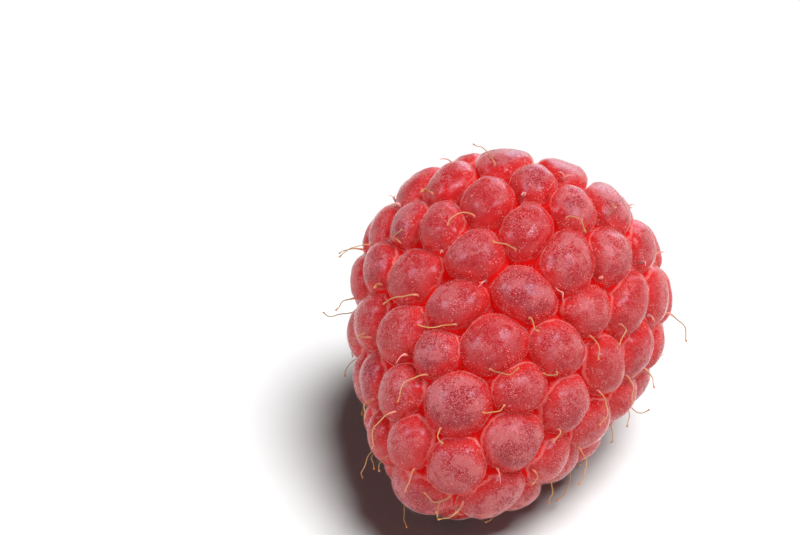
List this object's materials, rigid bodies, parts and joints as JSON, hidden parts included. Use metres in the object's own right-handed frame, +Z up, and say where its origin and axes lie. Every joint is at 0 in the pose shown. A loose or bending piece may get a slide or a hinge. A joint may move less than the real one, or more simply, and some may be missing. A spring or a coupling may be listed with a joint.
{
  "type": "raspberry",
  "caption": "Picked raspberry on its side: a hollow cup of hairy drupelets, open where it left its core, with dried styles standing from it.",
  "frame": {"origin": "on the surface that the fruit lies on, under the middle of its box", "axes": "+Z up; +Y along the fruit towards its open mouth, so the tip points to -Y and dips a little; +X across it"},
  "size_m": [0.0236, 0.0254, 0.023],
  "materials": {
    "ripe_flesh": "soft translucent red flesh under a dusty pale bloom of short hairs",
    "dried_style": "dry golden plant fibre, paler at its foot"
  },
  "bodies": {
    "root": {"berry": "ripe_flesh", "style_01": "dried_style", "style_02": "dried_style", "style_03": "dried_style", "style_04": "dried_style", "style_05": "dried_style", "style_06": "dried_style", "style_07": "dried_style", "style_08": "dried_style", "style_09": "dried_style", "style_10": "dried_style", "style_11": "dried_style", "style_12": "dried_style", "style_13": "dried_style", "style_14": "dried_style", "style_15": "dried_style", "style_16": "dried_style", "style_17": "dried_style", "style_18": "dried_style", "style_19": "dried_style", "style_20": "dried_style", "style_21": "dried_style", "style_22": "dried_style", "style_23": "dried_style", "style_24": "dried_style", "style_25": "dried_style", "style_26": "dried_style", "style_27": "dried_style", "style_28": "dried_style", "style_29": "dried_style", "style_30": "dried_style", "style_31": "dried_style", "style_32": "dried_style", "style_33": "dried_style", "style_34": "dried_style", "style_35": "dried_style", "style_36": "dried_style", "style_37": "dried_style", "style_38": "dried_style", "style_39": "dried_style", "style_40": "dried_style", "style_41": "dried_style", "style_42": "dried_style", "style_43": "dried_style", "style_44": "dried_style", "style_45": "dried_style", "style_46": "dried_style", "style_47": "dried_style", "style_48": "dried_style", "style_49": "dried_style", "style_50": "dried_style", "style_51": "dried_style", "style_52": "dried_style", "style_53": "dried_style", "style_54": "dried_style", "style_55": "dried_style", "style_56": "dried_style"}
  },
  "joints": []
}
